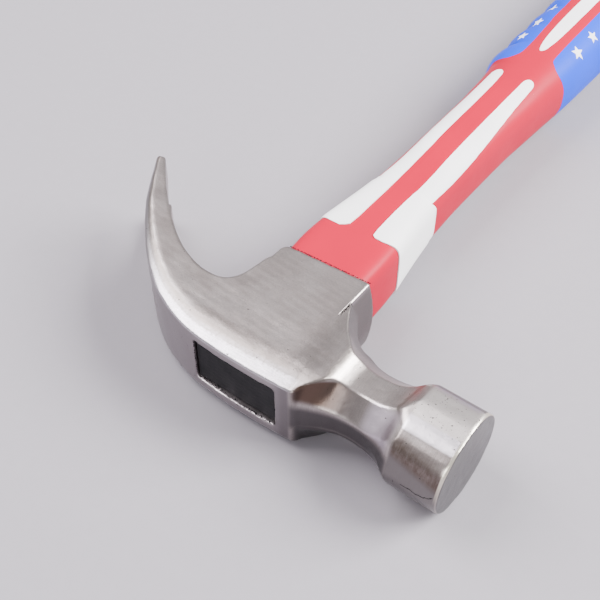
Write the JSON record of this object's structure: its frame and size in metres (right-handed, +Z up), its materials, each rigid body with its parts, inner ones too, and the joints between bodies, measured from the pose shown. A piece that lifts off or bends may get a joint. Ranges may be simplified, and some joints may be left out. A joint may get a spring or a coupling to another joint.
{
  "type": "claw hammer",
  "caption": "Curved claw hammer: ground steel head with octagonal poll, neck, eye and forked claw, on a flat oval moulded handle in red, white and blue with stars.",
  "frame": {"origin": "middle of the hammer's box at floor level, with the hammer lying on its side", "axes": "+X the way the hammer strikes (claw to striking face), +Y from the head down the handle to the butt, +Z up, across the cheeks"},
  "size_m": [0.1192, 0.325, 0.0257],
  "materials": {
    "forged_steel": "ground and lightly brushed, a little pitted",
    "black_resin": "cast, matt, slightly rough",
    "fibreglass": "pultruded, hidden inside",
    "red_moulding": "satin soft-touch moulding",
    "white_moulding": "satin soft-touch moulding",
    "blue_moulding": "satin soft-touch moulding"
  },
  "bodies": {
    "root": {"hammer_head": "forged_steel", "eye_resin": "black_resin", "fibreglass_core": "fibreglass", "grip_sleeve": "red_moulding", "white_fork_claw_side": "white_moulding", "white_fork_face_side": "white_moulding", "grip_stripe_upper": "white_moulding", "grip_stripe_lower": "white_moulding", "blue_pad_claw_side": "blue_moulding", "blue_pad_face_side": "blue_moulding", "stars_claw_side": "white_moulding", "stars_face_side": "white_moulding"}
  },
  "joints": []
}
